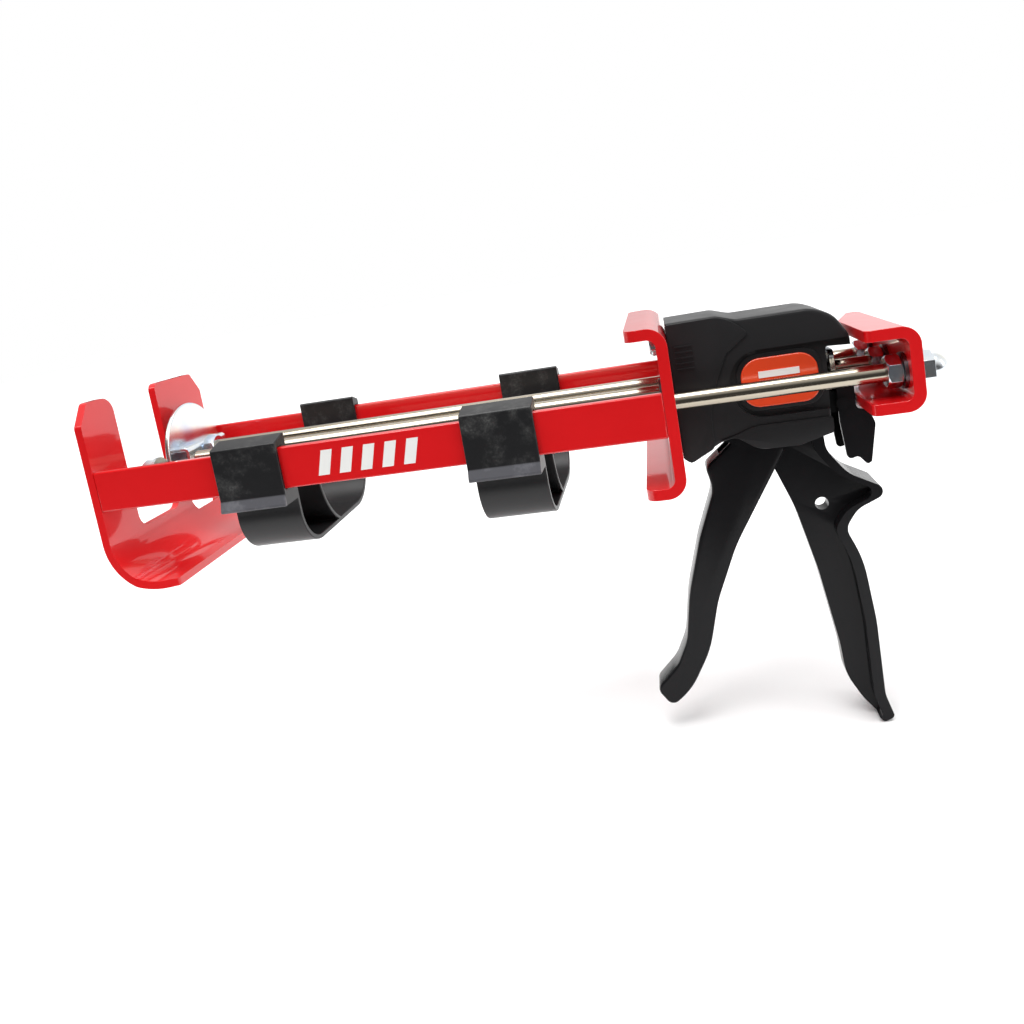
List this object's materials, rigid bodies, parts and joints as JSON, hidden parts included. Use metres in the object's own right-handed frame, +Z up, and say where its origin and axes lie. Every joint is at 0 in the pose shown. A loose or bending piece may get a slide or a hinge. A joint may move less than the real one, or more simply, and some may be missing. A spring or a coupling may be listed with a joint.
{
  "type": "two-component caulking gun",
  "caption": "Hand-operated two-component caulking gun with a red steel cartridge frame, black pistol grip, squeeze trigger and three push rods.",
  "frame": {"origin": "centre of the hanging hole in the fixed handle, on the gun's drive plane", "axes": "+X along the rods to the back of the gun, +Z up, -Y to the left side; the nozzle end is at -X"},
  "size_m": [0.4027, 0.1206, 0.2158],
  "materials": {
    "red_paint": "gloss powder coat",
    "black_casting": "satin",
    "cover_plastic": "satin",
    "cradle_plastic": "dusty matt",
    "badge": "gloss",
    "bright_steel": "drawn",
    "zinc": "zinc plated",
    "dark_steel": "oiled",
    "spring_steel": "drawn"
  },
  "bodies": {
    "gun_frame": {"front_plate": "red_paint", "left_rail": "red_paint", "right_rail": "red_paint", "back_plate": "red_paint", "body_screws": "zinc", "front_bush": "dark_steel", "rear_bush": "dark_steel", "handle_casting": "black_casting", "left_cover": "cover_plastic", "right_cover": "cover_plastic", "left_badge": "badge", "right_badge": "badge", "cover_screws": "dark_steel", "trigger_pin": "black_casting", "trigger_pin_clip": "dark_steel", "release_pin": "black_casting", "drive_spring": "spring_steel", "brake_spring": "spring_steel"},
    "trigger_lever": {"trigger": "black_casting"},
    "drive_gripper": {"drive_plate": "dark_steel"},
    "release": {"release_lever": "black_casting", "brake_plate": "zinc"},
    "rod_carriage": {"yoke": "red_paint", "drive_rod": "bright_steel", "small_piston_rod": "bright_steel", "large_piston_rod": "bright_steel", "yoke_washers": "dark_steel", "yoke_nuts": "zinc", "cap_nuts": "zinc", "large_pusher": "zinc", "pusher_bracket": "zinc", "bracket_nut": "zinc", "small_pusher_nut": "zinc", "small_pusher_washer": "zinc"},
    "front_holder": {"front_cradle": "cradle_plastic"},
    "rear_holder": {"rear_cradle": "cradle_plastic"}
  },
  "joints": [
    {"name": "trigger_hinge", "type": "hinge", "parent": "gun_frame", "child": "trigger_lever", "pos_m": [-0.03, 0, 0.04], "axis": [0, -1, 0], "range_deg": [0, 28], "stiffness_Nm_per_rad": 0.9, "springref_deg": -28.65},
    {"name": "drive_plate_slide", "type": "slide", "parent": "gun_frame", "child": "drive_gripper", "axis": [-1, 0, 0], "range_m": [0, 0.0072], "deforming": ["drive_spring"]},
    {"name": "release_hinge", "type": "hinge", "parent": "gun_frame", "child": "release", "pos_m": [0.013, 0, 0.049], "axis": [0, 1, 0], "range_deg": [0, 5], "stiffness_Nm_per_rad": 1, "springref_deg": -17.19},
    {"name": "rod_slide", "type": "slide", "parent": "gun_frame", "child": "rod_carriage", "axis": [1, 0, 0], "range_m": [0, 0.25]},
    {"name": "front_cradle_slide", "type": "slide", "parent": "gun_frame", "child": "front_holder", "axis": [1, 0, 0], "range_m": [-0.035, 0.04]},
    {"name": "rear_cradle_slide", "type": "slide", "parent": "gun_frame", "child": "rear_holder", "axis": [1, 0, 0], "range_m": [-0.04, 0.04]}
  ],
  "couplings": [
    {"joint": "drive_plate_slide", "follows": "trigger_hinge", "m_per_rad": 0.0142}
  ]
}
